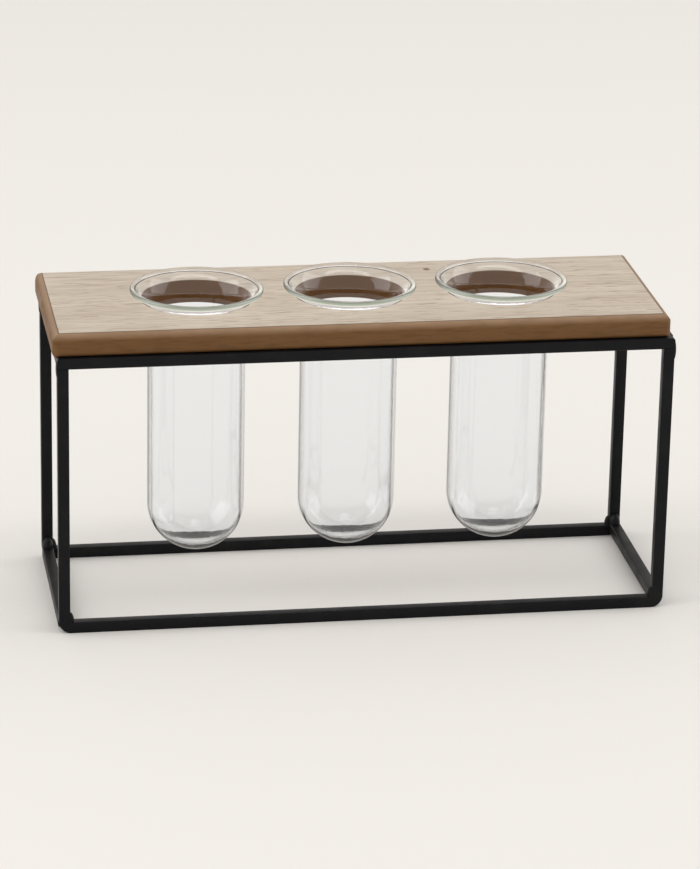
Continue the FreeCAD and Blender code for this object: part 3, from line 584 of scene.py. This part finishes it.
tube_low, tube_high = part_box("glass_tube_left")
tube_bottom = tube_low.z
inside_flare = FLARE_RADIUS + GLASS_WALL
flare_middle = TUBE_RADIUS + FLARE_RADIUS
lip_middle = (tube_high.x - tube_low.x) / 2 - LIP_RADIUS
lip_reach = FLARE_RADIUS + GLASS_WALL / 2
flare_angle = math.acos((flare_middle - lip_middle) / lip_reach)
lip_z = tube_high.z - LIP_RADIUS
flare_z = lip_z - lip_reach * math.sin(flare_angle)
dome_angle = math.asin((BORE - INNER_CORNER) / (DOME_RADIUS - INNER_CORNER))
dome_z = tube_bottom + GLASS_BASE + DOME_RADIUS
corner_z = dome_z - (DOME_RADIUS - INNER_CORNER) * math.cos(dome_angle)
quarter = math.pi / 2


def arc(centre, height, radius, start, finish, steps):
    """Points (radius, height) along an arc of a tube's section."""
    points = []
    for step in range(steps + 1):
        angle = start + (finish - start) * step / steps
        points.append((centre + radius * math.cos(angle), height + radius * math.sin(angle)))
    return points


def leave_angle(radius):
    """The direction from the flare's centre to where the lip's bead leaves a face of the wall."""
    spread = math.acos((lip_reach ** 2 + radius ** 2 - LIP_RADIUS ** 2) / (2 * lip_reach * radius))
    return math.pi - flare_angle + spread


def bead_angle(radius):
    """The direction from the bead's centre to where it leaves a face of the wall."""
    x = flare_middle + radius * math.cos(leave_angle(radius)) - lip_middle
    z = flare_z + radius * math.sin(leave_angle(radius)) - lip_z
    return math.atan2(z, x)


section = arc(0, tube_bottom + TUBE_RADIUS, TUBE_RADIUS, POLE_RADIUS / TUBE_RADIUS - quarter, 0,
              BOTTOM_STEPS)
section += arc(flare_middle, flare_z, FLARE_RADIUS, math.pi, leave_angle(FLARE_RADIUS), FLARE_STEPS)
section += arc(lip_middle, lip_z, LIP_RADIUS, bead_angle(FLARE_RADIUS), bead_angle(inside_flare),
               LIP_STEPS)[1:]
section += arc(flare_middle, flare_z, inside_flare, leave_angle(inside_flare), math.pi, FLARE_STEPS)[1:]
section += arc(BORE - INNER_CORNER, corner_z, INNER_CORNER, 0, dome_angle - quarter, CORNER_STEPS)
section += arc(0, dome_z, DOME_RADIUS, dome_angle - quarter, POLE_RADIUS / DOME_RADIUS - quarter,
               DOME_STEPS)[1:]

bpy.ops.object.select_all(action="DESELECT")
first_radius, first_height = section[0]
bpy.ops.mesh.primitive_circle_add(vertices=TUBE_SIDES, radius=first_radius, fill_type="NGON",
                                  location=(0, 0, first_height))
tube = bpy.context.object
bpy.ops.object.transform_apply(location=True, rotation=True, scale=True)
bpy.ops.object.mode_set(mode="EDIT")
bpy.ops.mesh.select_mode(type="EDGE")
bpy.ops.mesh.select_all(action="SELECT")
radius, height = first_radius, first_height
for next_radius, next_height in section[1:]:
    bpy.ops.mesh.extrude_edges_move(TRANSFORM_OT_translate={"value": (0, 0, next_height - height)})
    growth = next_radius / radius
    bpy.ops.transform.resize(value=(growth, growth, 1), center_override=(0, 0, next_height))
    radius, height = next_radius, next_height
bpy.ops.mesh.edge_face_add()
bpy.ops.mesh.select_all(action="SELECT")
bpy.ops.mesh.normals_make_consistent(inside=False)
bpy.ops.object.mode_set(mode="OBJECT")
smooth(tube, GLASS_CREASE)

# Clear glass: near colourless, with faint upright lines from drawing. The light that a real lip guides
# round and sends out is painted on the front of the bead as a faint pale glow, and the front of the flare
# above the board gets a paler painted glow. The outlines of the walls below the board, darker on the
# left, and of the bead are painted shade. Most plain light passes straight through, so that the shadows
# stay pale. The three tubes are alike, so one is copied into its place in each hole.

GLASS_TINT = (0.962, 0.976, 0.993, 1)
# The outline colour below is painted shade.
OUTLINE_PAINTED_SHADE = (0.04, 0.043, 0.043, 1)
# The two glow colours below are painted light.
LIP_GLOW = (0.56, 0.60, 0.46, 1)
FLARE_GLOW = (0.60, 0.585, 0.585, 1)
GLOW_STRENGTH = 0.35
NO_GLOW = (0, 0, 0, 1)
GLOW_FROM = 0.008
GLOW_FULL = -0.012
BEAD_LOW = 0.1556
BEAD_FACING = (0.60, 0.90)
GLASS_INDEX = 1.42
OUTLINE_FACING = (0.60, 0.80)
RIGHT_TO_LEFT = (0.5, -0.5)
OUTLINE_SHARE = (0.5, 1.0)
ZONE_FADE = GLASS_WALL / 4
FAINT_SHADOW = 0.04
DRAW_LINES = (0.0025, 0.0025, 0.060)
DRAW_LINE_STRENGTH = 0.15
DRAW_LINE_DEPTH = 0.0002

clear_glass, shader, tree = new_material("clear_blown_glass")
shader.inputs["Roughness"].default_value = 0.0
shader.inputs["Transmission Weight"].default_value = 1.0
shader.inputs["IOR"].default_value = GLASS_INDEX
place = tree.nodes.new("ShaderNodeTexCoord")
split = add_node(tree, "SeparateXYZ", Vector=place.outputs["Object"])
normal = add_node(tree, "SeparateXYZ", Vector=place.outputs["Normal"])
path = tree.nodes.new("ShaderNodeLightPath")
plain_light = add_math(tree, "MAXIMUM", path.outputs["Is Shadow Ray"], path.outputs["Is Diffuse Ray"])
let_through = add_math(tree, "MULTIPLY", plain_light, 1.0 - FAINT_SHADOW)
tree.links.new(add_math(tree, "SUBTRACT", 1.0, let_through), shader.inputs["Alpha"])
# Painted shade: the base colour goes dark along the walls' outlines below the board, more on the left, and
# along the bead's outlines.
facing = add_node(tree, "LayerWeight", Blend=0.5)
below_board = add_range(tree, split.outputs["Z"], board_high.z, board_low.z)
outline = add_range(tree, facing.outputs["Facing"], *OUTLINE_FACING)
left_side = add_range(tree, normal.outputs["X"], *RIGHT_TO_LEFT, *OUTLINE_SHARE)
painted_wall_shade = add_math(tree, "MULTIPLY", add_math(tree, "MULTIPLY", outline, left_side), below_board)
on_bead = add_range(tree, split.outputs["Z"], BEAD_LOW - ZONE_FADE, BEAD_LOW + ZONE_FADE)
painted_bead_shade = add_math(tree, "MULTIPLY", add_range(tree, facing.outputs["Facing"], *BEAD_FACING), on_bead)
painted_shade_share = add_math(tree, "MAXIMUM", painted_wall_shade, painted_bead_shade)
tree.links.new(add_mix(tree, painted_shade_share, GLASS_TINT, OUTLINE_PAINTED_SHADE), shader.inputs["Base Color"])
# Painted light: the front of the bead glows pale green and the front of the flare above the board glows
# paler.
above_board = add_range(tree, split.outputs["Z"], board_high.z, board_high.z + ZONE_FADE)
at_front = add_range(tree, split.outputs["Y"], GLOW_FROM, GLOW_FULL)
glow = add_mix(tree, on_bead, FLARE_GLOW, LIP_GLOW)
off_painted_bead_shade = add_math(tree, "SUBTRACT", 1.0, painted_bead_shade)
glow_share = add_math(tree, "MULTIPLY", add_math(tree, "MULTIPLY", above_board, at_front), off_painted_bead_shade)
tree.links.new(add_mix(tree, glow_share, NO_GLOW, glow), shader.inputs["Emission Color"])
shader.inputs["Emission Strength"].default_value = GLOW_STRENGTH
add_bump(tree, shader, add_grain(tree, DRAW_LINES), DRAW_LINE_STRENGTH, DRAW_LINE_DEPTH)
dress(tube, clear_glass)
for word, middle in zip(TUBES, tube_middles):
    blown = tube.copy()
    blown.data = tube.data.copy()
    blown.name = f"{word}_blown_tube"
    scene.collection.objects.link(blown)
    blown.data.transform(Matrix.Translation((middle.x, middle.y, 0)))
    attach(blown, f"glass_tube_{word}")
    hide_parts(f"glass_tube_{word}")
bpy.data.objects.remove(tube)

# Studio: a wide sheet of warm white paper in a pale room, with a long softbox overhead and a large
# one at each side. The room gives less light from the front, which keeps the front faces deep. What
# is seen of the room, straight or by way of metal and glass, is a plain wall of the paper's colour.

PAPER_SIZE = 7.0
PAPER_COLOUR = (0.806, 0.774, 0.731, 1)

bpy.ops.object.select_all(action="DESELECT")
bpy.ops.mesh.primitive_plane_add(size=PAPER_SIZE)
paper = bpy.context.object
paper.name = "paper_floor"
paper_material, paper_shader, _ = new_material("warm_white_paper")
paper_shader.inputs["Base Color"].default_value = PAPER_COLOUR
paper_shader.inputs["Roughness"].default_value = 1.0
paper_shader.inputs["Specular IOR Level"].default_value = 0.0
dress(paper, paper_material)
paper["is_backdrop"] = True

BACKDROP_COLOUR = (0.82, 0.79, 0.745, 1)
ROOM_FRONT = 0.66
ROOM_BACK = 0.86
ROOM_LOW = 1.36
ROOM_HIGH = 0.85
FRONT_TO_BACK = (-0.9, 0.3)

room = bpy.data.worlds.new("studio_room")
room.use_nodes = True
scene.world = room
tree = room.node_tree
background = tree.nodes["Background"]
direction = tree.nodes.new("ShaderNodeTexCoord")
split = add_node(tree, "SeparateXYZ", Vector=direction.outputs["Generated"])
front_to_back = add_range(tree, split.outputs["Y"], *FRONT_TO_BACK, ROOM_FRONT, ROOM_BACK)
low_to_high = add_range(tree, split.outputs["Z"], 0.0, 1.0, ROOM_LOW, ROOM_HIGH)
room_light = add_math(tree, "MULTIPLY", front_to_back, low_to_high)
path = tree.nodes.new("ShaderNodeLightPath")
mirrored = add_math(tree, "MAXIMUM", path.outputs["Is Glossy Ray"], path.outputs["Is Transmission Ray"])
seen = add_math(tree, "MAXIMUM", path.outputs["Is Camera Ray"], mirrored)
tree.links.new(add_mix(tree, seen, room_light, BACKDROP_COLOUR), background.inputs["Color"])


def add_softbox(name, place, size, power):
    """An oblong softbox that faces the middle of the object: its size in metres and power in watts."""
    bpy.ops.object.light_add(type="AREA", location=place)
    lamp = bpy.context.object
    lamp.name = name
    lamp.data.shape = "RECTANGLE"
    lamp.data.size, lamp.data.size_y = size
    lamp.data.energy = power
    aim = (cad_low + cad_high) / 2 - lamp.location
    lamp.rotation_euler = aim.to_track_quat("-Z", "Y").to_euler()


add_softbox("softbox_above", (0.0, -0.5, 2.1), (2.4, 0.4), 7)
add_softbox("softbox_left", (-2.6, 0.15, 1.4), (2.2, 2.4), 26)
add_softbox("softbox_right", (2.6, 0.15, 1.4), (2.2, 2.4), 20)

# Camera: stands where the photograph was taken from, as worked out from the edges of the frame and
# the board, a good way back with a long lens, and leaning a degree to one side.

CAMERA_PLACE = Vector((-0.298675, -1.79309, 0.74904))
CAMERA_AZIMUTH = math.radians(-9.4608)
CAMERA_ELEVATION = math.radians(20.2487)
CAMERA_ROLL = math.radians(1.1480)
CAMERA_LENS = 161.79

bpy.ops.object.camera_add()
camera = bpy.context.object
camera.name = "photo_camera"
camera.data.lens = CAMERA_LENS
camera.matrix_world = (
    Matrix.Translation(CAMERA_PLACE)
    @ Matrix.Rotation(CAMERA_AZIMUTH, 4, "Z")
    @ Matrix.Rotation(math.pi / 2 - CAMERA_ELEVATION, 4, "X")
    @ Matrix.Rotation(CAMERA_ROLL, 4, "Z"))
scene.camera = camera
scene.view_settings.view_transform = "Standard"

low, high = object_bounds()
